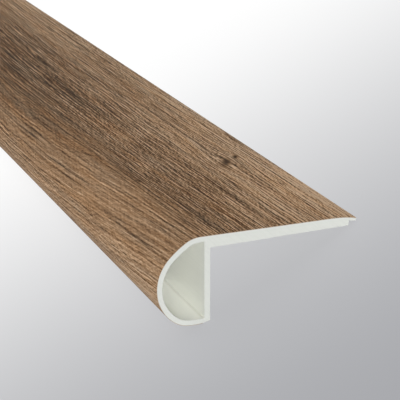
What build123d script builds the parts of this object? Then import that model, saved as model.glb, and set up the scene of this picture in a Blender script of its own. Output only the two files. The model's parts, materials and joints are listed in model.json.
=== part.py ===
from build123d import *
import os
from math import atan2, cos, degrees, radians, sin

# Flush stair nosing: one length of hollow rigid vinyl extrusion, wrapped in a thin wood-print film.
# Its section is drawn as it is fitted to a step. x runs back over the tread, y runs up, and the
# origin is the inside corner that the step's edge seats in. All sizes are in millimetres and degrees.

# Stock length
STOCK_LENGTH = 2000.0

# Tread flange and the lip on its back edge
FLANGE_THICKNESS = 3.9
FLANGE_REACH = 48.9
TREAD_FALL = 1.0
LIP_LENGTH = 2.75
LIP_UNDERSIDE = 1.63
LIP_TIP_THICKNESS = 0.8
EASING_LENGTH = 8.4
EASING_DROP = 0.92

# Bullnose: a chain of tangent arcs from the tread round to the sole
SHOULDER_SETBACK = 3.3
SHOULDER_RADIUS = 9.15
SHOULDER_SWEEP = 34.0
RAMP_RADIUS = 34.3
RAMP_SWEEP = 10.5
FRONT_RADIUS = 14.4
FRONT_SWEEP = 101.5
HEEL_RADIUS = 8.65
HEEL_SWEEP = 26.0
NOSE_DROP = 24.75

# Walls round the hollow
NOSE_WALL = 1.65
SOLE_WALL = 1.4
BACK_WALL = 1.95
CHAMBER_FILLET = 0.5

# Rounding that the die leaves on the corners that the stock lies on
EDGE_RADIUS = 0.3

# Wood-print film, with a bare strip of vinyl left along the sole's back corner
FILM_THICKNESS = 0.15
FILM_STOP = 2.5

# Points and directions that the faces share
tread_direction = Vector(1, 0).rotate(Axis.Z, -TREAD_FALL)
tread_up = tread_direction.rotate(Axis.Z, 90)
tread_rise = tread_direction.Y / tread_direction.X
shoulder_start = Vector(-SHOULDER_SETBACK, FLANGE_THICKNESS - SHOULDER_SETBACK * tread_rise)
lip_reach = FLANGE_REACH + LIP_LENGTH
easing_x = lip_reach - EASING_LENGTH
easing_start = Vector(easing_x, FLANGE_THICKNESS + easing_x * tread_rise)
lip_top = Vector(lip_reach, FLANGE_THICKNESS + lip_reach * tread_rise - EASING_DROP)
sole_corner = Vector(0, -NOSE_DROP)
flange_corner = Vector(FLANGE_REACH, 0)


def nose_arcs(proud):
    """Draws the nose's arcs, proud of the vinyl's face, and returns the last one."""
    arc = JernArc(shoulder_start + tread_up * proud, -tread_direction, SHOULDER_RADIUS + proud, SHOULDER_SWEEP)
    for radius, sweep in (
        (RAMP_RADIUS, RAMP_SWEEP),
        (FRONT_RADIUS, FRONT_SWEEP),
        (HEEL_RADIUS, HEEL_SWEEP),
    ):
        arc = JernArc(arc @ 1, arc % 1, radius + proud, sweep)
    return arc


def wrapped_face(proud, lip_end, sole_end):
    """Draws the face that the film covers, from the lip over the tread and nose to the sole."""
    easing = TangentArc(easing_start + tread_up * proud, lip_end, tangent=tread_direction)
    Line(easing @ 0, shoulder_start + tread_up * proud)
    heel = nose_arcs(proud)
    sole = TangentArc(heel @ 1, sole_end, tangent=heel % 1)
    return easing, sole


# The body's outline: wrapped face, back wall, flange underside and lip
with BuildSketch() as body_section:
    with BuildLine():
        easing, sole = wrapped_face(0, lip_top, sole_corner)
        lip_up = (easing % 1).rotate(Axis.Z, 90)
        lip_low = lip_top - lip_up * LIP_TIP_THICKNESS
        lip_root = Vector(FLANGE_REACH, LIP_UNDERSIDE)
        Polyline(sole_corner, Vector(0, 0), flange_corner, lip_root, lip_low, lip_top)
    make_face()
    corners = (sole_corner, flange_corner)
    fillet([body_section.vertices().sort_by_distance(corner)[0] for corner in corners], EDGE_RADIUS)

# The hollow in the nose, open at both ends of the stock
with BuildSketch() as chamber_section:
    with BuildLine():
        heel = nose_arcs(-NOSE_WALL)
        sole_face = sole @ (1 - BACK_WALL / sole.length)
        floor_corner = Vector(-BACK_WALL, sole_face.Y + SOLE_WALL)
        ceiling_start = shoulder_start - tread_up * NOSE_WALL
        ceiling_corner = Vector(-BACK_WALL, ceiling_start.Y + (SHOULDER_SETBACK - BACK_WALL) * tread_rise)
        TangentArc(heel @ 1, floor_corner, tangent=heel % 1)
        Polyline(floor_corner, ceiling_corner, ceiling_start)
    make_face()
    fillet(chamber_section.vertices().sort_by(Axis.X)[-2:], CHAMBER_FILLET)

# The vinyl section: the body with the hollow taken out
with BuildSketch() as vinyl_section:
    add(body_section.sketch)
    add(chamber_section.sketch, mode=Mode.SUBTRACT)

# The film section: the wrapped face twice, a film's thickness apart, closed at both edges
with BuildSketch() as film_section:
    with BuildLine():
        film_end = 1 - FILM_STOP / sole.length
        sole_down = (sole % film_end).rotate(Axis.Z, -90)
        inner_end = sole @ film_end
        outer_end = inner_end + sole_down * FILM_THICKNESS
        outer_lip = lip_top + lip_up * FILM_THICKNESS
        wrapped_face(0, lip_top, inner_end)
        wrapped_face(FILM_THICKNESS, outer_lip, outer_end)
        Line(inner_end, outer_end)
        Line(lip_top, outer_lip)
    make_face()

# Laid down unheld, the stock tips back onto its lip: it lies on the long straight side of its section's hull.
with BuildSketch() as hull_section:
    make_hull(vinyl_section.edges())
lying_side = hull_section.edges().filter_by(GeomType.LINE).sort_by(SortBy.LENGTH)[-1]
lying_direction = lying_side % 0.5
lie_angle = degrees(atan2(abs(lying_direction.Y), abs(lying_direction.X)))
lying_box = (vinyl_section.sketch + film_section.sketch).rotate(Axis.Z, -lie_angle).bounding_box()
lying_plane = Plane(
    origin=(-lying_box.center().X, 0, -lying_box.min.Y),
    x_dir=(cos(radians(lie_angle)), 0, -sin(radians(lie_angle))),
    z_dir=(0, -1, 0),
)

with BuildPart() as vinyl_extrusion:
    with BuildSketch(lying_plane):
        add(vinyl_section.sketch)
    extrude(amount=STOCK_LENGTH / 2, both=True)
vinyl_extrusion.part.label = "vinyl_extrusion"

with BuildPart() as wood_film:
    with BuildSketch(lying_plane):
        add(film_section.sketch)
    extrude(amount=STOCK_LENGTH / 2, both=True)
wood_film.part.label = "wood_film"

os.makedirs("parts", exist_ok=True)
export_step(vinyl_extrusion.part, "parts/vinyl_extrusion.step")
export_step(wood_film.part, "parts/wood_film.step")

print(f"lies at {lie_angle:.3f} degrees, inside corner at {lying_plane.origin}")
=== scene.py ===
"""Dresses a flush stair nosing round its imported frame.

The nosing is one length of hollow rigid vinyl, sawn square at both ends and wrapped in a printed wood
film. Sizes are in metres and angles in radians. A section point is a 2-D vector: first back over the
tread, then up, as the nosing is fitted to a step.
"""

import json
import logging
from dataclasses import dataclass
from enum import Enum
from math import atan2, ceil, cos, radians, sin, tau
from typing import Any, Iterable, Sequence

import bpy
from mathutils import Matrix, Vector
from mathutils.kdtree import KDTree

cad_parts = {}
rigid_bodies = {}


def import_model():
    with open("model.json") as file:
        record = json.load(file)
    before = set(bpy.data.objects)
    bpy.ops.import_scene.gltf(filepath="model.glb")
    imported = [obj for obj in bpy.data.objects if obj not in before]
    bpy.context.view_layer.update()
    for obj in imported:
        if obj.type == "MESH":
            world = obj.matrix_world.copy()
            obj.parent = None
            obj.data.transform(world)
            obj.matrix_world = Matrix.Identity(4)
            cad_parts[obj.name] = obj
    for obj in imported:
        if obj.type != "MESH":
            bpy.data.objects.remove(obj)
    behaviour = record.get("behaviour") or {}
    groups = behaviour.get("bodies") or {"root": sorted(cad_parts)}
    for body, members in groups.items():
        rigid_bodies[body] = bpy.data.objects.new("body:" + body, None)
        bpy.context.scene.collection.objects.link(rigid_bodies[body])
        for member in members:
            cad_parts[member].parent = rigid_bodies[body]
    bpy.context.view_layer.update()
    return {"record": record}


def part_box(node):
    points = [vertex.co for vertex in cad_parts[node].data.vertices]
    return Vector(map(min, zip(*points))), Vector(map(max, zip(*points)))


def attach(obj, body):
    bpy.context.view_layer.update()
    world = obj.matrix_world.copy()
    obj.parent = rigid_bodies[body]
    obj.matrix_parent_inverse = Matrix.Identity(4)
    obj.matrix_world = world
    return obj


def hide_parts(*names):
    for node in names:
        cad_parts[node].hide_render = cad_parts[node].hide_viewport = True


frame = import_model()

log = logging.getLogger("stair_nosing")

MM = 0.001
BODY = "root"


# Section geometry


def left_of(heading: Vector) -> Vector:
    """Returns a heading turned a quarter to the left."""
    return Vector((-heading.y, heading.x))


def turned(arm: Vector, angle: float) -> Vector:
    """Returns a section vector turned to the left by an angle."""
    return Matrix.Rotation(angle, 2) @ arm


@dataclass(frozen=True)
class Stroke:
    """One straight or round stretch of an outline; a straight one has no centre."""

    start: Vector
    end: Vector
    centre: Vector | None = None
    turn: float = 0.0

    STEP = radians(1.5)
    LEAST_STEPS = 3

    @property
    def length(self) -> float:
        """The stroke's length along its line."""
        if self.centre is None:
            return (self.end - self.start).length
        return abs(self.turn) * (self.start - self.centre).length

    @property
    def steps(self) -> int:
        """How many edges the stroke is drawn with."""
        if self.centre is None:
            return 1
        return max(self.LEAST_STEPS, ceil(abs(self.turn) / self.STEP))

    def at(self, share: float) -> Vector:
        """Returns the point at a share of the stroke's length."""
        if self.centre is None:
            return self.start.lerp(self.end, share)
        return self.centre + turned(self.start - self.centre, self.turn * share)

    def heading(self, share: float) -> Vector:
        """Returns the unit direction of travel at a share of the stroke's length."""
        if self.centre is None:
            return (self.end - self.start).normalized()
        ahead = left_of(self.at(share) - self.centre).normalized()
        return ahead if self.turn > 0 else -ahead

    def backwards(self) -> "Stroke":
        """Returns the same stroke drawn from its end to its start."""
        return Stroke(self.end, self.start, self.centre, -self.turn)


class Pencil:
    """Draws strokes one after another, each tangent to the last."""

    def __init__(self, start: Vector, heading: Vector) -> None:
        """Sets the pencil down.

        Args:
            start: Where the first stroke starts.
            heading: The unit direction that it starts in.
        """
        self.point = start
        self.heading = heading

    def bend(self, radius: float, sweep: float) -> Stroke:
        """Draws an arc to the left.

        Args:
            radius: The arc's radius.
            sweep: The angle that it turns through.

        Returns:
            The stroke drawn.
        """
        centre = self.point + left_of(self.heading) * radius
        return self._draw(centre + turned(self.point - centre, sweep), centre, sweep)

    def bend_to(self, end: Vector) -> Stroke:
        """Draws the arc that leaves along the heading and ends at a point.

        Args:
            end: Where the arc ends.

        Returns:
            The stroke drawn.
        """
        chord = end - self.point
        aside = self.heading.x * chord.y - self.heading.y * chord.x
        half_turn = atan2(aside, self.heading.dot(chord))
        radius = chord.length / (2 * sin(half_turn))
        return self._draw(end, self.point + left_of(self.heading) * radius, 2 * half_turn)

    def _draw(self, end: Vector, centre: Vector, turn: float) -> Stroke:
        """Records one arc and moves the pencil to its end."""
        stroke = Stroke(self.point, end, centre, turn)
        self.point = end
        self.heading = turned(self.heading, turn)
        return stroke


def straight_through(*points: Vector) -> list[Stroke]:
    """Returns the straight strokes that join points in order."""
    return [Stroke(start, end) for start, end in zip(points, points[1:])]


@dataclass(frozen=True)
class NosingSection:
    """The section's driving sizes, and the outlines drawn from them."""

    flange_thickness: float = 3.9 * MM
    flange_reach: float = 48.9 * MM
    tread_fall: float = radians(1.0)
    lip_length: float = 2.75 * MM
    lip_underside: float = 1.63 * MM
    lip_tip_thickness: float = 0.8 * MM
    easing_length: float = 8.4 * MM
    easing_drop: float = 0.92 * MM
    shoulder_setback: float = 3.3 * MM
    shoulder_radius: float = 9.15 * MM
    shoulder_sweep: float = radians(34.0)
    ramp_radius: float = 34.3 * MM
    ramp_sweep: float = radians(10.5)
    front_radius: float = 14.4 * MM
    front_sweep: float = radians(101.5)
    heel_radius: float = 8.65 * MM
    heel_sweep: float = radians(26.0)
    nose_drop: float = 24.75 * MM
    nose_wall: float = 1.65 * MM
    sole_wall: float = 1.4 * MM
    back_wall: float = 1.95 * MM
    film_thickness: float = 0.15 * MM
    film_stop: float = 2.5 * MM

    @property
    def tread_heading(self) -> Vector:
        """The tread's direction, back from the nose."""
        return Vector((cos(self.tread_fall), -sin(self.tread_fall)))

    @property
    def tread_up(self) -> Vector:
        """The tread's direction of thickness."""
        return left_of(self.tread_heading)

    @property
    def sole_corner(self) -> Vector:
        """The back corner under the nose."""
        return Vector((0.0, -self.nose_drop))

    @property
    def flange_corner(self) -> Vector:
        """The flange's lower back corner, at the lip's root."""
        return Vector((self.flange_reach, 0.0))

    @property
    def floor_corner(self) -> Vector:
        """The hollow's lower back corner, a wall's thickness over the sole's face."""
        sole = self.wrapped_face(0.0, self.sole_corner)[-1]
        sole_face = sole.at(1.0 - self.back_wall / sole.length)
        return Vector((-self.back_wall, sole_face.y + self.sole_wall))

    @property
    def ceiling_corner(self) -> Vector:
        """The hollow's upper back corner."""
        return self._tread_point(-self.back_wall) - self.tread_up * self.nose_wall

    @property
    def shoulder_start(self) -> Vector:
        """Where the tread starts to turn down into the nose."""
        return self._tread_point(-self.shoulder_setback)

    def _tread_point(self, back: float) -> Vector:
        """Returns the point of the vinyl's tread face at a distance back from the step's edge."""
        rise = self.tread_heading.y / self.tread_heading.x
        return Vector((back, self.flange_thickness + back * rise))

    def _easing(self, proud: float) -> Stroke:
        """Returns the eased back edge of a face that stands proud of the vinyl, drawn to the lip's tip."""
        lip_reach = self.flange_reach + self.lip_length
        start = self._tread_point(lip_reach - self.easing_length)
        tip = self._tread_point(lip_reach) - Vector((0.0, self.easing_drop))
        bare = Pencil(start, self.tread_heading).bend_to(tip)
        if proud == 0.0:
            return bare
        raised_tip = tip + left_of(bare.heading(1.0)) * proud
        return Pencil(start + self.tread_up * proud, self.tread_heading).bend_to(raised_tip)

    def _nose(self, proud: float) -> tuple[list[Stroke], Pencil]:
        """Returns the nose's arcs on a face proud of the vinyl, and the pencil where they end."""
        pencil = Pencil(self.shoulder_start + self.tread_up * proud, -self.tread_heading)
        arcs = (
            (self.shoulder_radius, self.shoulder_sweep),
            (self.ramp_radius, self.ramp_sweep),
            (self.front_radius, self.front_sweep),
            (self.heel_radius, self.heel_sweep),
        )
        return [pencil.bend(radius + proud, sweep) for radius, sweep in arcs], pencil

    def wrapped_face(self, proud: float, sole_end: Vector) -> list[Stroke]:
        """Draws the face that the film covers, from the lip's tip round to the sole.

        Args:
            proud: How far the face stands off the vinyl.
            sole_end: Where it ends under the nose.

        Returns:
            The face's strokes.
        """
        easing = self._easing(proud)
        arcs, pencil = self._nose(proud)
        tread = Stroke(easing.start, arcs[0].start)
        return [easing.backwards(), tread, *arcs, pencil.bend_to(sole_end)]

    def vinyl_outline(self) -> list[Stroke]:
        """Returns the closed outer outline of the vinyl."""
        face = self.wrapped_face(0.0, self.sole_corner)
        lip_top = face[0].start
        lip_low = lip_top + left_of(face[0].heading(0.0)) * self.lip_tip_thickness
        lip_root = Vector((self.flange_reach, self.lip_underside))
        inside_corner = Vector((0.0, 0.0))
        under = (self.sole_corner, inside_corner, self.flange_corner, lip_root, lip_low, lip_top)
        return [*face, *straight_through(*under)]

    def hollow_outline(self) -> list[Stroke]:
        """Returns the closed outline of the hollow in the nose."""
        arcs, pencil = self._nose(-self.nose_wall)
        floor = pencil.bend_to(self.floor_corner)
        return [*arcs, floor, *straight_through(self.floor_corner, self.ceiling_corner, arcs[0].start)]

    def film_faces(self) -> tuple[list[Stroke], list[Stroke]]:
        """Returns the film's inner and outer faces, each from the lip's tip to the film's end."""
        sole = self.wrapped_face(0.0, self.sole_corner)[-1]
        share = 1.0 - self.film_stop / sole.length
        inner_end = sole.at(share)
        outer_end = inner_end - left_of(sole.heading(share)) * self.film_thickness
        inner = self.wrapped_face(0.0, inner_end)
        return inner, self.wrapped_face(self.film_thickness, outer_end)


@dataclass(frozen=True)
class FittedAxes:
    """The axes of the fitted nosing in the frame that it is stored in, and the ends of its length."""

    corner: Vector
    back: Vector
    up: Vector
    near: float
    far: float

    @classmethod
    def from_frame(cls) -> "FittedAxes":
        """Reads the axes from the two faces that seat on the step.

        Returns:
            The axes, with the inside corner at mid length as their origin.
        """
        mounts = {mount["name"]: mount for mount in frame["record"]["mounts"]}
        tread, riser = mounts["tread_seat"], mounts["riser_seat"]
        up, back = -Vector(tread["axis"]), Vector(riser["axis"])
        on_tread, on_riser = Vector(tread["pos_m"]), Vector(riser["pos_m"])
        corner = back * on_riser.dot(back) + up * on_tread.dot(up)
        lowest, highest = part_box("vinyl_extrusion")
        return cls(corner, back, up, lowest.y, highest.y)

    @property
    def along(self) -> Vector:
        """The direction of the length, away from the near end."""
        return Vector((0.0, 1.0, 0.0))

    @property
    def stock_length(self) -> float:
        """The nosing's length."""
        return self.far - self.near

    def place(self, point: Vector, along: float = 0.0) -> Vector:
        """Places a section point in the frame.

        Args:
            point: The section point.
            along: Its distance from the near end.

        Returns:
            The point in the frame.
        """
        return self.corner + self.back * point.x + self.up * point.y + self.along * (self.near + along)


# Modelling by operators


class SectionModeller:
    """Models a long piece from its section: outlines drawn from one point, filled and extruded."""

    SEED_SIZE = 0.1 * MM
    MERGE = 0.002 * MM
    SMOOTH_ANGLE = radians(20.0)
    BEVEL_STEPS = 5

    def __init__(self, axes: FittedAxes, name: str) -> None:
        """Starts a piece.

        Args:
            axes: The fitted nosing's axes.
            name: The piece's name.
        """
        self.axes = axes
        bpy.ops.object.select_all(action="DESELECT")
        bpy.ops.mesh.primitive_plane_add(size=self.SEED_SIZE)
        self.piece: bpy.types.Object = bpy.context.active_object
        self.piece.name = name
        self.piece.data.name = name
        bpy.ops.object.mode_set(mode="EDIT")
        bpy.ops.mesh.delete(type="VERT")

    def outline(self, strokes: Sequence[Stroke]) -> None:
        """Draws one closed outline at the near end, by extruding and spinning a point along it.

        Args:
            strokes: The outline's strokes, in order.
        """
        start = self.axes.place(strokes[0].start)
        bpy.ops.mesh.select_all(action="DESELECT")
        bpy.ops.mesh.primitive_plane_add(size=self.SEED_SIZE, location=start)
        bpy.ops.mesh.merge(type="CENTER")
        for stroke in strokes:
            if stroke.centre is None:
                step = self.axes.place(stroke.end) - self.axes.place(stroke.start)
                bpy.ops.mesh.extrude_region_move(TRANSFORM_OT_translate={"value": step})
            else:
                bpy.ops.mesh.spin(
                    steps=stroke.steps,
                    angle=stroke.turn,
                    center=self.axes.place(stroke.centre),
                    axis=self.axes.along,
                )
        bpy.ops.mesh.select_linked()
        bpy.ops.mesh.remove_doubles(threshold=self.MERGE)

    def extrude(self) -> None:
        """Fills the outlines and extrudes them over the whole length."""
        bpy.ops.mesh.select_all(action="SELECT")
        bpy.ops.mesh.fill(use_beauty=True)
        bpy.ops.mesh.select_all(action="SELECT")
        length = self.axes.along * self.axes.stock_length
        bpy.ops.mesh.extrude_region_move(TRANSFORM_OT_translate={"value": length})
        bpy.ops.mesh.select_all(action="SELECT")
        bpy.ops.mesh.normals_make_consistent(inside=False)

    def round_long_edges(self, corners: Iterable[Vector], radius: float) -> None:
        """Rounds the long edges that run through section corners.

        Args:
            corners: The section corners.
            radius: The rounding's radius.
        """
        lines = [self.axes.place(corner) for corner in corners]
        bpy.ops.object.mode_set(mode="OBJECT")
        mesh = self.piece.data
        mesh.vertices.foreach_set("select", [False] * len(mesh.vertices))
        mesh.polygons.foreach_set("select", [False] * len(mesh.polygons))
        for edge in mesh.edges:
            first, second = (mesh.vertices[index].co for index in edge.vertices)
            long = abs(first.y - second.y) > self.axes.stock_length / 2
            edge.select = long and any((first - line).xz.length < self.SEED_SIZE for line in lines)
        bpy.ops.object.mode_set(mode="EDIT")
        bpy.ops.mesh.select_mode(type="EDGE")
        bpy.ops.mesh.bevel(offset=radius, segments=self.BEVEL_STEPS, affect="EDGES")
        bpy.ops.mesh.select_mode(type="VERT")

    def finish(self) -> bpy.types.Object:
        """Leaves edit mode with smooth faces and crisp edges.

        Returns:
            The finished piece.
        """
        bpy.ops.object.mode_set(mode="OBJECT")
        bpy.ops.object.shade_smooth_by_angle(angle=self.SMOOTH_ANGLE)
        return self.piece


# Shader maths


def from_screen(red: int, green: int, blue: int) -> tuple[float, float, float, float]:
    """Turns a colour as screens show it into the linear colour that shaders use.

    Args:
        red: The red level, 0 to 255.
        green: The green level, 0 to 255.
        blue: The blue level, 0 to 255.

    Returns:
        The linear colour, with full alpha.
    """
    # The standard curve of screens.
    levels = [level / 255 for level in (red, green, blue)]
    linear = [x / 12.92 if x <= 0.04045 else ((x + 0.055) / 1.055) ** 2.4 for x in levels]
    return (*linear, 1.0)


class Flow:
    """One value on its way through a material; arithmetic on it adds Math nodes."""

    def __init__(self, bench: "NodeBench", socket: bpy.types.NodeSocket) -> None:
        """Wraps a node's output socket."""
        self.bench = bench
        self.socket = socket

    def math(self, operation: str, *operands: "Flow | float") -> "Flow":
        """Adds a Math node.

        Args:
            operation: The node's operation.
            operands: Its inputs, in order.

        Returns:
            The node's value.
        """
        return self.bench.add("ShaderNodeMath", {"operation": operation}, dict(enumerate(operands)))

    def __add__(self, other: "Flow | float") -> "Flow":
        """Adds."""
        return self.math("ADD", self, other)

    def __radd__(self, other: float) -> "Flow":
        """Adds to a number."""
        return self.math("ADD", other, self)

    def __sub__(self, other: "Flow | float") -> "Flow":
        """Subtracts."""
        return self.math("SUBTRACT", self, other)

    def __rsub__(self, other: float) -> "Flow":
        """Subtracts from a number."""
        return self.math("SUBTRACT", other, self)

    def __mul__(self, other: "Flow | float") -> "Flow":
        """Multiplies."""
        return self.math("MULTIPLY", self, other)

    def __rmul__(self, other: float) -> "Flow":
        """Multiplies a number."""
        return self.math("MULTIPLY", other, self)

    def __truediv__(self, other: "Flow | float") -> "Flow":
        """Divides."""
        return self.math("DIVIDE", self, other)

    def __neg__(self) -> "Flow":
        """Changes sign."""
        return self.math("MULTIPLY", self, -1.0)

    def exp(self) -> "Flow":
        """Raises e to the value."""
        return self.math("EXPONENT", self)

    def sine(self) -> "Flow":
        """Takes the sine."""
        return self.math("SINE", self)

    def soft_step(self, low: float, high: float) -> "Flow":
        """Rises smoothly from 0 to 1.

        Args:
            low: The value that gives 0.
            high: The value that gives 1.

        Returns:
            The step.
        """
        settings = {"interpolation_type": "SMOOTHSTEP"}
        sockets = {"Value": self, "From Min": low, "From Max": high}
        return self.bench.add("ShaderNodeMapRange", settings, sockets)


class NodeBench:
    """Adds nodes to one material or world."""

    MIX_FIRST = 6
    MIX_SECOND = 7
    MIX_RESULT = 2

    def __init__(self, tree: bpy.types.NodeTree) -> None:
        """Clears a node tree to work in."""
        self.tree = tree
        tree.nodes.clear()

    def add(
        self,
        kind: str,
        settings: dict[str, Any],
        sockets: dict[int | str, Any],
        output: int | str = 0,
    ) -> Flow:
        """Adds one node.

        Args:
            kind: The node's type.
            settings: Its properties, set first; "stops" gives a ramp its places and colours.
            sockets: The values or links of its inputs.
            output: The output to go on from.

        Returns:
            That output.
        """
        node = self.tree.nodes.new(kind)
        for name, value in settings.items():
            if name == "stops":
                self._set_stops(node.color_ramp, value)
            else:
                setattr(node, name, value)
        for key, value in sockets.items():
            if isinstance(value, Flow):
                self.tree.links.new(value.socket, node.inputs[key])
            else:
                node.inputs[key].default_value = value
        return Flow(self, node.outputs[output])

    @staticmethod
    def _set_stops(ramp: bpy.types.ColorRamp, stops: Sequence[tuple[float, Sequence[float]]]) -> None:
        """Gives a ramp its stops."""
        while len(ramp.elements) < len(stops):
            ramp.elements.new(1.0)
        for element, (place, colour) in zip(ramp.elements, stops):
            element.position = place
            element.color = colour

    def both(self, kind: str, settings: dict[str, Any], outputs: Sequence[str]) -> list[Flow]:
        """Adds one source node and goes on from several of its outputs.

        Args:
            kind: The node's type.
            settings: Its properties.
            outputs: The outputs wanted.

        Returns:
            Those outputs.
        """
        first = self.add(kind, settings, {}, outputs[0])
        node = first.socket.node
        return [Flow(self, node.outputs[name]) for name in outputs]

    def split(self, vector: Flow) -> list[Flow]:
        """Returns a vector's three parts."""
        first = self.add("ShaderNodeSeparateXYZ", {}, {0: vector})
        return [Flow(self, socket) for socket in first.socket.node.outputs]

    def noise(self, across: Flow, along: Flow, detail: float = 1.0) -> Flow:
        """Adds flat noise.

        Args:
            across: The place across the pattern, in noise cells.
            along: The place along it, in noise cells.
            detail: The number of finer layers.

        Returns:
            The noise, from -1 to 1.
        """
        place = self.add("ShaderNodeCombineXYZ", {}, {0: across, 1: along})
        settings = {"noise_dimensions": "2D"}
        sockets = {"Vector": place, "Scale": 1.0, "Detail": detail}
        level = self.add("ShaderNodeTexNoise", settings, sockets)
        return level * 2.0 - 1.0

    def mix_colour(self, share: Flow | float, first: Any, second: Any) -> Flow:
        """Mixes two colours.

        Args:
            share: How much of the second shows.
            first: The first colour.
            second: The second colour.

        Returns:
            The mixed colour.
        """
        sockets = {0: share, self.MIX_FIRST: first, self.MIX_SECOND: second}
        return self.add("ShaderNodeMix", {"data_type": "RGBA"}, sockets, self.MIX_RESULT)

    def bump(self, height: Flow, strength: float, distance: float) -> Flow:
        """Turns a height into a shading normal.

        Args:
            height: The height.
            strength: How much of it shows.
            distance: The height's size in metres.

        Returns:
            The normal.
        """
        sockets = {"Height": height, "Strength": strength, "Distance": distance}
        return self.add("ShaderNodeBump", {}, sockets)

    def add_output(self, kind: str, shader: Flow) -> None:
        """Adds an output node of a kind and links a shader to it."""
        node = self.tree.nodes.new(kind)
        self.tree.links.new(shader.socket, node.inputs["Surface"])

    def add_surface(self, sockets: dict[str, Any]) -> None:
        """Adds the Principled shader with its inputs and links it to the material's output."""
        shader = self.add("ShaderNodeBsdfPrincipled", {}, sockets)
        self.add_output("ShaderNodeOutputMaterial", shader)


def new_material(name: str) -> tuple[bpy.types.Material, NodeBench]:
    """Makes a material with an empty node tree.

    Args:
        name: The material's name.

    Returns:
        The material and the bench to build it on.
    """
    material = bpy.data.materials.new(name)
    material.use_nodes = True
    return material, NodeBench(material.node_tree)


# Finishes


Screen = tuple[int, int, int]


@dataclass(frozen=True)
class GrainFlow:
    """How the print's lines run, in millimetres: they lean, wander, ripple and bow round a knot."""

    tread_lean: float = 0.025
    nose_lean: float = 0.07
    lean_from: float = 15.0
    lean_to: float = 80.0
    swing: float = 120.0
    wander: float = 1.4
    wander_width: float = 40.0
    wander_length: float = 210.0
    ripple: float = 0.3
    ripple_width: float = 6.0
    ripple_length: float = 22.0
    knot_girth: float = 16.2
    knot_along: float = 67.0
    bow: float = 3.6
    bow_width: float = 6.0
    bow_length: float = 15.0

    def grain(self, bench: NodeBench, girth: Flow, along: Flow) -> Flow:
        """Works out which line of the grain runs through a place.

        Args:
            bench: The material's bench.
            girth: The distance round the film from the lip's tip.
            along: The distance from the near end.

        Returns:
            The line's distance round the film, where it starts.
        """
        lean = self.tread_lean + self.nose_lean * girth.soft_step(self.lean_from, self.lean_to)
        sway = self.swing * (along / self.swing).sine()
        wander = self.wander * bench.noise(girth / self.wander_width, along / self.wander_length)
        ripple = self.ripple * bench.noise(girth / self.ripple_width, along / self.ripple_length)
        across = (girth - self.knot_girth) / self.bow_width
        ahead = (along - self.knot_along) / self.bow_length
        bow = self.bow * across * (-(across * across + ahead * ahead)).exp()
        return girth - lean * sway + wander + ripple - bow


@dataclass(frozen=True)
class HeartBand:
    """The dark heartwood along the print, in millimetres: soft-sided, with a crisp line by the nose."""

    lip_side: float = 31.0
    lip_shift: float = 9.0
    shift_from: float = 10.0
    shift_to: float = 60.0
    sway: float = 2.5
    sway_length: float = 62.0
    softness: float = 14.0
    nose_from: float = 47.0
    nose_to: float = 84.0
    crisp_from: float = 52.5
    crisp_to: float = 55.5
    crisp_share: float = 0.4
    crisp_start: float = 25.0
    crisp_full: float = 60.0

    def darkness(self, grain: Flow, along: Flow) -> Flow:
        """Works out how dark the heartwood makes the print, from 0 to 1.

        Args:
            grain: The line of the grain.
            along: The distance from the near end.

        Returns:
            The darkness.
        """
        shift = self.lip_shift * along.soft_step(self.shift_from, self.shift_to)
        lip_side = self.lip_side - shift + self.sway * (along / self.sway_length).sine()
        inside = (grain - lip_side).soft_step(-self.softness, self.softness)
        share = self.crisp_share * along.soft_step(self.crisp_start, self.crisp_full)
        crisp = grain.soft_step(self.crisp_from, self.crisp_to)
        soft = grain.soft_step(self.nose_from, self.nose_to)
        return inside * (1.0 - share * crisp - (1.0 - share) * soft)


@dataclass(frozen=True)
class GrainLayer:
    """One scale of streaks in the print: their width and length in millimetres, and their contrast."""

    width: float
    length: float
    amount: float
    shift: float = 0.0

    def noise(self, bench: NodeBench, grain: Flow, along: Flow) -> Flow:
        """Returns the streaks as noise from -1 to 1."""
        return bench.noise(grain / self.width + self.shift, along / self.length)

    def tone(self, bench: NodeBench, grain: Flow, along: Flow) -> Flow:
        """Returns what the streaks add to the print's tone."""
        return self.amount * self.noise(bench, grain, along)


@dataclass(frozen=True)
class GrainDashes(GrainLayer):
    """Scattered dashes along the grain: the places where a layer's noise passes a level."""

    low: float = 0.2
    high: float = 0.5

    def tone(self, bench: NodeBench, grain: Flow, along: Flow) -> Flow:
        """Returns what the dashes add to the print's tone."""
        return self.amount * self.noise(bench, grain, along).soft_step(self.low, self.high)


@dataclass(frozen=True)
class GrainThreads(GrainLayer):
    """Fine threads along the grain, free of broad bands: a layer's noise less the noise beside it."""

    beside: float = 0.6

    def tone(self, bench: NodeBench, grain: Flow, along: Flow) -> Flow:
        """Returns what the threads add to the print's tone."""
        here = self.noise(bench, grain, along)
        there = self.noise(bench, grain + self.beside * self.width, along)
        return self.amount * (here - there)


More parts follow.
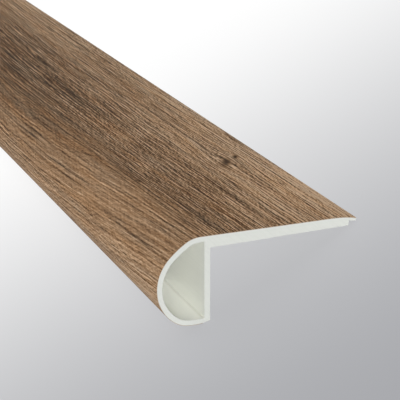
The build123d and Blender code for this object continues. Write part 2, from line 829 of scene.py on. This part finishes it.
@dataclass(frozen=True)
class GrowthLines:
    """One set of long fine dark lines, which come and go: sizes in millimetres, wander in pitches."""

    pitch: float
    wander: float
    depth: float
    wander_width: float = 9.0
    wander_length: float = 150.0
    patch_width: float = 2.4
    patch_length: float = 100.0
    patch_mean: float = 0.6
    patch_spread: float = 1.1
    sharpness: float = 2.5
    mean_ridge: float = 0.27
    patch_shift: float = 5.0

    def tone(self, bench: NodeBench, grain: Flow, along: Flow) -> Flow:
        """Works out what the lines add to the print's tone, none of it on the whole.

        Args:
            bench: The material's bench.
            grain: The line of the grain.
            along: The distance from the near end.

        Returns:
            The change of tone.
        """
        drift = bench.noise(grain / self.wander_width + self.pitch, along / self.wander_length)
        wave = ((grain / self.pitch + self.wander * drift) * tau).sine()
        ridge = (self.sharpness * (wave - 1.0)).exp() - self.mean_ridge
        shift = self.patch_shift * self.pitch
        patch = bench.noise(grain / self.patch_width + shift, along / self.patch_length)
        return -(self.depth * (self.patch_mean + self.patch_spread * patch) * ridge)


@dataclass(frozen=True)
class GrainMark:
    """One mark in the print, in millimetres: a knot, spot or streak; a light one has negative depth."""

    girth: float
    along: float
    half_width: float
    half_length: float
    depth: float
    lean: float = 0.0

    def darkness(self, girth: Flow, along: Flow) -> Flow:
        """Works out how much the mark darkens a place.

        Args:
            girth: The distance round the film from the lip's tip.
            along: The distance from the near end.

        Returns:
            The darkening.
        """
        ahead = along - self.along
        across = (girth - self.girth - ahead * self.lean) / self.half_width
        ahead = ahead / self.half_length
        return self.depth * (-(across * across + ahead * ahead)).exp()


@dataclass(frozen=True)
class WoodPrint:
    """The printed face of the film: brushed oak with its grain along the length."""

    layout: str = "print_layout"
    warm: tuple[Screen, ...] = (
        (58, 38, 24),
        (99, 70, 45),
        (135, 102, 71),
        (166, 132, 98),
        (197, 163, 128),
    )
    grey: tuple[Screen, ...] = (
        (52, 43, 34),
        (91, 74, 57),
        (127, 103, 80),
        (155, 130, 104),
        (187, 162, 135),
    )
    flow: GrainFlow = GrainFlow()
    heart: HeartBand = HeartBand()
    layers: tuple[GrainLayer, ...] = (
        GrainLayer(10.0, 190.0, 0.11, 23.0),
        GrainLayer(5.5, 190.0, 0.07, 58.0),
        GrainLayer(1.5, 120.0, 0.05, 11.0),
        GrainLayer(0.9, 80.0, 0.30, 5.8),
        GrainThreads(0.8, 60.0, 0.24, 3.3),
        GrainThreads(0.45, 40.0, 0.44, 2.0),
        GrainDashes(0.52, 26.0, -0.34, 31.0, 0.20, 0.45),
        GrainDashes(0.48, 20.0, 0.42, 77.0, 0.22, 0.48),
    )
    speckle: tuple[GrainLayer, ...] = (
        GrainThreads(0.75, 5.0, 0.25, 9.0),
        GrainThreads(0.65, 1.5, 0.38, 31.0),
        GrainThreads(1.2, 2.2, 0.18, 19.0),
        GrainThreads(1.2, 7.0, 0.11, 47.0),
        GrainLayer(2.2, 4.0, 0.10, 61.0),
    )
    streaks: GrainLayer = GrainDashes(1.3, 90.0, -0.07, 53.0, 0.10, 0.50)
    lines: tuple[GrowthLines, ...] = (
        GrowthLines(0.76, 1.1, 0.36),
        GrowthLines(1.15, 0.9, 0.32),
        GrowthLines(1.75, 1.3, 0.30),
    )
    grey_bands: GrainLayer = GrainLayer(2.8, 48.0, 0.68, 41.0)
    grey_threads: GrainLayer = GrainLayer(0.6, 9.0, 0.4, 13.0)
    knots: tuple[GrainMark, ...] = (
        GrainMark(16.9, 65.5, 2.3, 5.2, 0.85, -0.38),
        GrainMark(11.0, 70.0, 1.2, 2.6, 0.85, -0.38),
    )
    marks: tuple[GrainMark, ...] = (
        GrainMark(16.9, 65.1, 1.5, 3.4, 0.50, -0.38),
        GrainMark(16.6, 67.0, 2.6, 6.0, 0.12, -0.38),
        GrainMark(11.0, 70.0, 0.75, 1.7, 0.80, -0.38),
        GrainMark(12.6, 71.4, 0.6, 1.4, -0.26, -0.38),
        GrainMark(22.0, 63.0, 1.6, 2.6, 0.20),
        GrainMark(53.8, 57.0, 0.8, 1.4, 0.40),
        GrainMark(53.0, 66.0, 3.0, 9.0, 0.10),
        GrainMark(48.1, 18.0, 0.8, 26.0, 0.34, 0.06),
        GrainMark(39.4, 15.0, 0.5, 12.0, 0.42, 0.10),
        GrainMark(30.3, 30.0, 0.5, 30.0, 0.22, 0.03),
        GrainMark(34.8, 55.0, 0.6, 12.0, 0.24, 0.20),
        GrainMark(69.4, 27.0, 0.45, 34.0, 0.32, 0.05),
        GrainMark(1.4, 92.0, 1.4, 10.0, 0.48),
        # Painted highlight: a light mark along the lip's edge near the end.
        GrainMark(1.6, 24.0, 3.4, 28.0, -0.40),
        GrainMark(83.0, 12.0, 5.0, 28.0, -0.16),
        GrainMark(51.0, 3.0, 5.0, 10.0, -0.09),
        GrainMark(39.0, 95.0, 0.9, 7.0, 0.22),
        GrainMark(39.0, 178.0, 0.8, 28.0, 0.20, -0.02),
        GrainMark(34.0, 238.0, 1.1, 18.0, 0.24, 0.02),
        GrainMark(27.3, 253.0, 1.0, 20.0, 0.26, 0.09),
        GrainMark(50.0, 224.0, 2.0, 12.0, 0.16),
        GrainMark(7.5, 225.0, 2.2, 26.0, 0.10),
        GrainMark(12.0, 282.0, 2.2, 30.0, 0.09),
        GrainMark(24.0, 272.0, 2.2, 34.0, 0.09),
    )
    base_tone: float = 0.62
    heart_depth: float = 0.23
    far_depth: float = 0.125
    far_from: float = 20.0
    far_to: float = 220.0
    greyness: float = 0.5
    far_greyness: float = 0.17
    # Painted highlight: the print is lightened along the lip's edge.
    lip_highlight: float = 0.18
    lip_width: float = 14.0
    nose_lift: float = 0.11
    nose_from: float = 66.0
    nose_to: float = 84.0
    tread_contrast: float = 1.1
    lip_contrast: float = 0.4
    nose_calm: float = 0.64
    calm_from: float = 44.0
    calm_to: float = 60.0
    hem_contrast: float = 0.24
    hem_from: float = 69.0
    hem_to: float = 79.0
    nose_stretch: float = 0.18
    stretch_from: float = 50.0
    far_calm: float = 0.06
    far_calm_from: float = 110.0
    far_calm_to: float = 190.0
    rough_dark: float = 0.74
    rough_fall: float = 0.10
    specular: float = 0.04
    emboss: float = 0.25
    emboss_depth: float = 0.08 * MM

    def material(self) -> bpy.types.Material:
        """Builds the printed face's material.

        Returns:
            The material.
        """
        material, bench = new_material("wood_print")
        layout = bench.add("ShaderNodeUVMap", {"uv_map": self.layout}, {})
        girth, along, _ = bench.split(layout)
        girth, along = girth / MM, along / MM
        grain = self.flow.grain(bench, girth, along)
        heart = self.heart.darkness(grain, along)
        fine = self._contrast(girth, along) * self._fine_tone(bench, grain, along, heart)
        tone = self._broad_tone(girth, along, heart) + fine
        for mark in self.marks:
            tone = tone - mark.darkness(girth, along)
        bands = self.grey_bands.tone(bench, grain, along)
        greyness = self.greyness + self.far_greyness * along.soft_step(self.far_from, self.far_to)
        greyness = greyness + bands + self.grey_threads.tone(bench, grain, along)
        warm, grey = (self._ramp(bench, tone, colours) for colours in (self.warm, self.grey))
        bench.add_surface(
            {
                "Base Color": bench.mix_colour(greyness, warm, grey),
                "Roughness": self.rough_dark - self.rough_fall * tone,
                "Specular IOR Level": self.specular,
                "Normal": bench.bump(tone, self.emboss, self.emboss_depth),
            }
        )
        return material

    def _contrast(self, girth: Flow, along: Flow) -> Flow:
        """Works out how strongly the fine grain shows.

        Args:
            girth: The distance round the film from the lip's tip.
            along: The distance from the near end.

        Returns:
            The strength, about 1 on the tread.
        """
        contrast = self.tread_contrast - self.nose_calm * girth.soft_step(self.calm_from, self.calm_to)
        contrast = contrast + self.hem_contrast * girth.soft_step(self.hem_from, self.hem_to)
        contrast = contrast + self.lip_contrast * (1.0 - girth.soft_step(0.0, self.lip_width))
        far = along.soft_step(self.far_calm_from, self.far_calm_to)
        contrast = contrast * (1.0 - self.far_calm * far)
        for knot in self.knots:
            contrast = contrast * (1.0 - knot.darkness(girth, along))
        return contrast

    def _broad_tone(self, girth: Flow, along: Flow, heart: Flow) -> Flow:
        """Works out how light the print is as a whole, about 0 to 1.

        Args:
            girth: The distance round the film from the lip's tip.
            along: The distance from the near end.
            heart: The heartwood's darkness.

        Returns:
            The tone.
        """
        tone = self.base_tone - self.heart_depth * heart
        tone = tone - self.far_depth * along.soft_step(self.far_from, self.far_to)
        # Painted highlight along the lip's edge.
        tone = tone + self.lip_highlight * (1.0 - girth.soft_step(0.0, self.lip_width))
        return tone + self.nose_lift * girth.soft_step(self.nose_from, self.nose_to)

    def _fine_tone(self, bench: NodeBench, grain: Flow, along: Flow, heart: Flow) -> Flow:
        """Works out the streaks, lines and dashes that lie along the grain.

        Args:
            bench: The material's bench.
            grain: The line of the grain.
            along: The distance from the near end.
            heart: The heartwood's darkness.

        Returns:
            What they add to the tone.
        """
        past = grain.math("MAXIMUM", grain - self.stretch_from, 0.0)
        grain = grain - self.nose_stretch * past
        tone = heart * self.streaks.tone(bench, grain, along)
        for pattern in (*self.layers, *self.speckle, *self.lines):
            tone = tone + pattern.tone(bench, grain, along)
        return tone

    @staticmethod
    def _ramp(bench: NodeBench, tone: Flow, colours: Sequence[Screen]) -> Flow:
        """Turns a tone into a colour between evenly spaced ones.

        Args:
            bench: The material's bench.
            tone: The tone, from 0 to 1.
            colours: The colours, from the darkest.

        Returns:
            The colour.
        """
        last = len(colours) - 1
        stops = [(index / last, from_screen(*colour)) for index, colour in enumerate(colours)]
        return bench.add("ShaderNodeValToRGB", {"stops": stops}, {0: tone})


@dataclass(frozen=True)
class VinylSkin:
    """Off-white rigid vinyl as it leaves the die: satin, with faint lines and a painted shade along one
    crease.
    """

    crease: Vector
    # Near-white, far lighter than the sawn end of the same plastic: painted light that brightens the
    # shaded inside of the hollow.
    colour: Screen = (246, 247, 239)
    line_colour: Screen = (243, 244, 236)
    # Painted shade: a darker colour along the hollow's inner crease, where shade falls.
    crease_shade_colour: Screen = (226, 226, 217)
    crease_shade_reach: float = 0.45 * MM
    line_width: float = 0.6 * MM
    line_length: float = 180.0 * MM
    line_slant: float = 0.7
    line_detail: float = 2.0
    line_from: float = -0.2
    line_to: float = 0.7
    roughness: float = 0.42
    line_roughness: float = 0.08
    specular: float = 0.35
    line_bump: float = 0.12
    line_depth: float = 0.05 * MM

    def material(self) -> bpy.types.Material:
        """Builds the skin's material.

        Returns:
            The material.
        """
        material, bench = new_material("vinyl_skin")
        place = bench.add("ShaderNodeTexCoord", {}, {}, "Object")
        across, along, up = bench.split(place)
        slanted = (across + up * self.line_slant) / self.line_width
        lines = bench.noise(slanted, along / self.line_length, self.line_detail)
        share = lines.soft_step(self.line_from, self.line_to)
        clean = bench.mix_colour(share, from_screen(*self.colour), from_screen(*self.line_colour))
        # Painted shade: the skin darkens close to the hollow's inner crease.
        aside = (across - self.crease.x) / self.crease_shade_reach
        above = (up - self.crease.z) / self.crease_shade_reach
        crease_shade = (-(aside * aside + above * above)).exp()
        colour = bench.mix_colour(crease_shade, clean, from_screen(*self.crease_shade_colour))
        bench.add_surface(
            {
                "Base Color": colour,
                "Roughness": self.roughness + self.line_roughness * lines,
                "Specular IOR Level": self.specular,
                "Normal": bench.bump(lines, self.line_bump, self.line_depth),
            }
        )
        return material


@dataclass(frozen=True)
class SawnEnd:
    """A sawn end: matt, with fine marks across it."""

    name: str
    colour: Screen
    mark_colour: Screen
    mark_width: float = 0.5 * MM
    mark_length: float = 9.0 * MM
    mark_slant: float = 0.35
    mark_detail: float = 2.0
    mark_from: float = -0.3
    mark_to: float = 0.8
    roughness: float = 0.62
    mark_roughness: float = 0.06
    specular: float = 0.25
    mark_bump: float = 0.08
    mark_depth: float = 0.04 * MM

    def material(self) -> bpy.types.Material:
        """Builds the sawn end's material.

        Returns:
            The material.
        """
        material, bench = new_material(self.name)
        place = bench.add("ShaderNodeTexCoord", {}, {}, "Object")
        across, _, up = bench.split(place)
        slanted = (across + up * self.mark_slant) / self.mark_width
        saw = bench.noise(slanted, up / self.mark_length, self.mark_detail)
        share = saw.soft_step(self.mark_from, self.mark_to)
        colour = bench.mix_colour(share, from_screen(*self.colour), from_screen(*self.mark_colour))
        bench.add_surface(
            {
                "Base Color": colour,
                "Roughness": self.roughness + self.mark_roughness * saw,
                "Specular IOR Level": self.specular,
                "Normal": bench.bump(saw, self.mark_bump, self.mark_depth),
            }
        )
        return material


# The sawn vinyl end keeps a greyer colour than the skin of the same plastic; the difference is painted
# light on the skin.
VINYL_CUT = SawnEnd("vinyl_cut", (204, 206, 200), (200, 202, 196))
FILM_BASE = SawnEnd("film_base", (165, 149, 132), (157, 140, 122))


# Sub-assemblies


class FilmFace(Enum):
    """The faces of the film that differ in finish, by material slot."""

    PRINT = 0
    BACKING = 1


class VinylFace(Enum):
    """The faces of the extrusion that differ in finish, by material slot."""

    SKIN = 0
    CUT = 1


CUT_FACING = 0.9


@dataclass
class VinylExtrusion:
    """The hollow vinyl body: flange, lip, nose and back wall in one section."""

    section: NosingSection
    axes: FittedAxes
    edge_radius: float = 0.3 * MM
    chamber_fillet: float = 0.5 * MM
    crease_shade_aside: float = 0.4 * MM
    name: str = "vinyl_body"

    def build(self) -> bpy.types.Object:
        """Models the body.

        Returns:
            The piece.
        """
        modeller = SectionModeller(self.axes, self.name)
        modeller.outline(self.section.vinyl_outline())
        modeller.outline(self.section.hollow_outline())
        modeller.extrude()
        outer_corners = (self.section.sole_corner, self.section.flange_corner)
        hollow_corners = (self.section.floor_corner, self.section.ceiling_corner)
        modeller.round_long_edges(outer_corners, self.edge_radius)
        modeller.round_long_edges(hollow_corners, self.chamber_fillet)
        return modeller.finish()

    def dress(self, piece: bpy.types.Object) -> None:
        """Gives the body its finishes and its place in the frame.

        Args:
            piece: The body.
        """
        # The painted crease shade is centred a little aside from the hollow's floor corner.
        crease = self.section.floor_corner - Vector((self.crease_shade_aside, 0.0))
        skin = VinylSkin(self.axes.place(crease))
        finishes = {VinylFace.SKIN: skin.material(), VinylFace.CUT: VINYL_CUT.material()}
        for face in VinylFace:
            piece.data.materials.append(finishes[face])
        for polygon in piece.data.polygons:
            sawn = abs(polygon.normal.y) > CUT_FACING
            polygon.material_index = (VinylFace.CUT if sawn else VinylFace.SKIN).value
        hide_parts("vinyl_extrusion")
        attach(piece, BODY)


@dataclass
class WoodFilm:
    """The film wrapped over the tread and round the nose, printed on its outer face."""

    section: NosingSection
    axes: FittedAxes
    name: str = "printed_film"

    def build(self) -> bpy.types.Object:
        """Models the film and lays its print out flat over it.

        Returns:
            The piece.
        """
        inner, outer = self.section.film_faces()
        modeller = SectionModeller(self.axes, self.name)
        sole_edge = Stroke(inner[-1].end, outer[-1].end)
        lip_edge = Stroke(outer[0].start, inner[0].start)
        back = [stroke.backwards() for stroke in reversed(outer)]
        modeller.outline([*inner, sole_edge, *back, lip_edge])
        modeller.extrude()
        piece = modeller.finish()
        self._lay_out(piece, inner, outer)
        return piece

    def _lay_out(self, piece: bpy.types.Object, inner: list[Stroke], outer: list[Stroke]) -> None:
        """Writes the distance round the film and along it into a UV map, and marks the printed face.

        Args:
            piece: The film.
            inner: The strokes of its inner face.
            outer: The strokes of its outer face.
        """
        stations: list[tuple[Vector, float, bool]] = []
        for face, printed in ((inner, False), (outer, True)):
            girth = 0.0
            for stroke, bare in zip(face, inner):
                for step in range(stroke.steps + 1):
                    share = step / stroke.steps
                    stations.append((stroke.at(share), girth + bare.length * share, printed))
                girth += bare.length
        tree = KDTree(len(stations))
        for index, (point, _, _) in enumerate(stations):
            tree.insert(self.axes.place(point), index)
        tree.balance()

        mesh = piece.data
        near = self.axes.near
        found = []
        for vertex in mesh.vertices:
            _, index, _ = tree.find((vertex.co.x, near, vertex.co.z))
            found.append(stations[index])
        layout = mesh.uv_layers.new(name=WoodPrint.layout)
        for loop, corner in zip(mesh.loops, layout.data):
            corner.uv = (found[loop.vertex_index][1], mesh.vertices[loop.vertex_index].co.y - near)
        for polygon in mesh.polygons:
            side = abs(polygon.normal.y) < CUT_FACING
            printed = side and all(found[index][2] for index in polygon.vertices)
            polygon.material_index = (FilmFace.PRINT if printed else FilmFace.BACKING).value

    def dress(self, piece: bpy.types.Object) -> None:
        """Gives the film its finishes and its place in the frame.

        Args:
            piece: The film.
        """
        finishes = {FilmFace.PRINT: WoodPrint().material(), FilmFace.BACKING: FILM_BASE.material()}
        for face in FilmFace:
            piece.data.materials.append(finishes[face])
        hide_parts("wood_film")
        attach(piece, BODY)


# Stage


@dataclass(frozen=True)
class SoftLamp:
    """A wide lamp far off: the direction that it shines from, its strength and its spread."""

    name: str
    shines_from: tuple[float, float, float]
    strength: float
    spread: float

    def build(self) -> None:
        """Hangs the lamp."""
        bpy.ops.object.select_all(action="DESELECT")
        bpy.ops.object.light_add(type="SUN")
        lamp = bpy.context.active_object
        lamp.name = self.name
        lamp.data.energy = self.strength
        lamp.data.angle = self.spread
        lamp.rotation_mode = "QUATERNION"
        lamp.rotation_quaternion = Vector(self.shines_from).to_track_quat("Z", "Y")


@dataclass
class Studio:
    """A pale floor, soft light and the camera that sees the near end as the photograph does."""

    axes: FittedAxes
    floor_half: float = 30.0
    floor_glow: float = 0.85
    floor_far: Screen = (255, 255, 255)
    floor_near: Screen = (166, 167, 171)
    fade_from: float = -1.111
    fade_to: float = -0.758
    fade_slant: float = 0.142
    ambient: float = 0.15
    lamps: tuple[SoftLamp, ...] = (
        SoftLamp("front_softbox", (-0.125, -0.89, 0.44), 3.02, radians(4.0)),
        SoftLamp("overhead_softbox", (-0.25, 0.45, 0.86), 1.9, radians(60.0)),
    )
    frame_px: float = 400.0
    focal_px: float = 1408.9
    camera_heading: float = radians(23.34)
    camera_tilt: float = radians(19.92)
    corner_px: tuple[float, float] = (210.26, 247.56)
    corner_px_per_metre: float = 3218.0
    sensor: float = 36.0
    view_from: float = 0.01
    view_to: float = 120.0

    def build(self) -> None:
        """Makes the floor, the light and the camera."""
        self._floor()
        self._world()
        for lamp in self.lamps:
            lamp.build()
        self._camera()

    def _seen(self, bench: NodeBench) -> Flow:
        """Returns 1 for rays that show the backdrop straight, in a gloss or through something clear."""
        outputs = ("Is Camera Ray", "Is Glossy Ray", "Is Transmission Ray")
        camera, glossy, clear = bench.both("ShaderNodeLightPath", {}, outputs)
        return camera.math("MINIMUM", camera + glossy + clear, 1.0)

    def _floor(self) -> None:
        """Lays the floor that the nosing lies on."""
        bpy.ops.object.select_all(action="DESELECT")
        bpy.ops.mesh.primitive_plane_add(size=2 * self.floor_half)
        floor = bpy.context.active_object
        floor.name = "floor"
        material, bench = new_material("pale_floor")
        place = bench.add("ShaderNodeTexCoord", {}, {}, "Object")
        across, along, _ = bench.split(place)
        shade = (along + across * self.fade_slant).soft_step(self.fade_from, self.fade_to)
        colour = bench.mix_colour(shade, from_screen(*self.floor_near), from_screen(*self.floor_far))
        lit = bench.add("ShaderNodeBsdfDiffuse", {}, {"Color": colour})
        glow = bench.add("ShaderNodeEmission", {}, {"Color": colour, "Strength": 1.0})
        share = self._seen(bench) * self.floor_glow
        mixed = bench.add("ShaderNodeMixShader", {}, {0: share, 1: lit, 2: glow})
        bench.add_output("ShaderNodeOutputMaterial", mixed)
        floor.data.materials.append(material)

    def _world(self) -> None:
        """Gives even light from all round, and a pale backdrop where the floor ends."""
        world = bpy.data.worlds.new("soft_room")
        world.use_nodes = True
        bpy.context.scene.world = world
        bench = NodeBench(world.node_tree)
        white = from_screen(*self.floor_far)
        light = bench.add("ShaderNodeBackground", {}, {"Color": white, "Strength": self.ambient})
        backdrop = bench.add("ShaderNodeBackground", {}, {"Color": white, "Strength": 1.0})
        mixed = bench.add("ShaderNodeMixShader", {}, {0: self._seen(bench), 1: light, 2: backdrop})
        bench.add_output("ShaderNodeOutputWorld", mixed)

    def _camera(self) -> None:
        """Sets the camera so that the near end's inside corner falls on its pixel."""
        level = self.axes.back * sin(self.camera_heading) + self.axes.along * cos(self.camera_heading)
        ahead = level * cos(self.camera_tilt) - self.axes.up * sin(self.camera_tilt)
        right = self.axes.back * cos(self.camera_heading) - self.axes.along * sin(self.camera_heading)
        down = ahead.cross(right)
        middle = self.frame_px / 2
        aside = right * (self.corner_px[0] - middle) + down * (self.corner_px[1] - middle)
        arm = aside + ahead * self.focal_px
        eye = self.axes.place(Vector((0.0, 0.0))) - arm / self.corner_px_per_metre
        data = bpy.data.cameras.new("photo_camera")
        data.sensor_width = self.sensor
        data.lens = self.focal_px * self.sensor / self.frame_px
        data.clip_start = self.view_from
        data.clip_end = self.view_to
        camera = bpy.data.objects.new("photo_camera", data)
        bpy.context.scene.collection.objects.link(camera)
        turn = Matrix((right, -down, -ahead)).transposed().to_4x4()
        camera.matrix_world = Matrix.Translation(eye) @ turn
        bpy.context.scene.camera = camera


def main() -> None:
    """Builds and dresses the nosing, then sets the stage."""
    logging.basicConfig(level=logging.INFO, format="%(name)s: %(message)s")
    bpy.context.scene.view_settings.view_transform = "Standard"
    section = NosingSection()
    axes = FittedAxes.from_frame()
    for maker in (VinylExtrusion(section, axes), WoodFilm(section, axes)):
        piece = maker.build()
        maker.dress(piece)
        log.info("%s: %d faces", piece.name, len(piece.data.polygons))
    Studio(axes).build()


if __name__ == "__main__":
    main()
